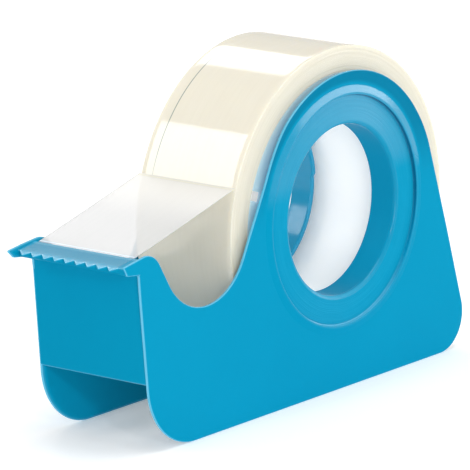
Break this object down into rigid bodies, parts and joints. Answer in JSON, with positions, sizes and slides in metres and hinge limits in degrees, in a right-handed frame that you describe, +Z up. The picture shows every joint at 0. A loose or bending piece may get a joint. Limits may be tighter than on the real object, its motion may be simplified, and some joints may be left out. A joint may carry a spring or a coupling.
{
  "type": "tape dispenser",
  "caption": "Small free-standing hand dispenser: two rounded side plates carry a roll of clear tape on hub collars, and a toothed lip cuts the free end.",
  "frame": {"origin": "centre of the bounding box in X and Y, on the plane that the side plates stand on", "axes": "+X along the roll's axis to the right side plate, -Y towards the cutting lip, +Z up"},
  "size_m": [0.0172, 0.0674, 0.0433],
  "materials": {
    "body_blue": "glossy moulded plastic, cyan blue",
    "core_plastic": "milky translucent moulded plastic",
    "tape_roll": "wound clear film, pale yellow in depth",
    "clear_tape": "clear adhesive film"
  },
  "bodies": {
    "front_block": {"front_wall": "body_blue", "cutting_lip": "body_blue", "right_cheek": "body_blue", "left_cheek": "body_blue", "tape_lead": "clear_tape"},
    "right_side": {"right_side_plate": "body_blue", "right_hub_ring": "body_blue", "right_collar": "body_blue"},
    "left_side": {"left_side_plate": "body_blue", "left_hub_ring": "body_blue", "left_collar": "body_blue"},
    "roll": {"tape_core": "core_plastic", "wound_tape": "tape_roll"}
  },
  "joints": [
    {"name": "roll_spin", "type": "hinge", "parent": "front_block", "child": "roll", "pos_m": [0, 0.00965, 0.02205], "axis": [1, 0, 0], "continuous": true},
    {"name": "right_side_flex", "type": "hinge", "parent": "front_block", "child": "right_side", "pos_m": [0.0086, -0.0187, 0], "axis": [0, 0, -1], "range_deg": [0, 9], "stiffness_Nm_per_rad": 0.08},
    {"name": "left_side_flex", "type": "hinge", "parent": "front_block", "child": "left_side", "pos_m": [-0.0086, -0.0187, 0], "axis": [0, 0, 1], "range_deg": [0, 9], "stiffness_Nm_per_rad": 0.08}
  ]
}
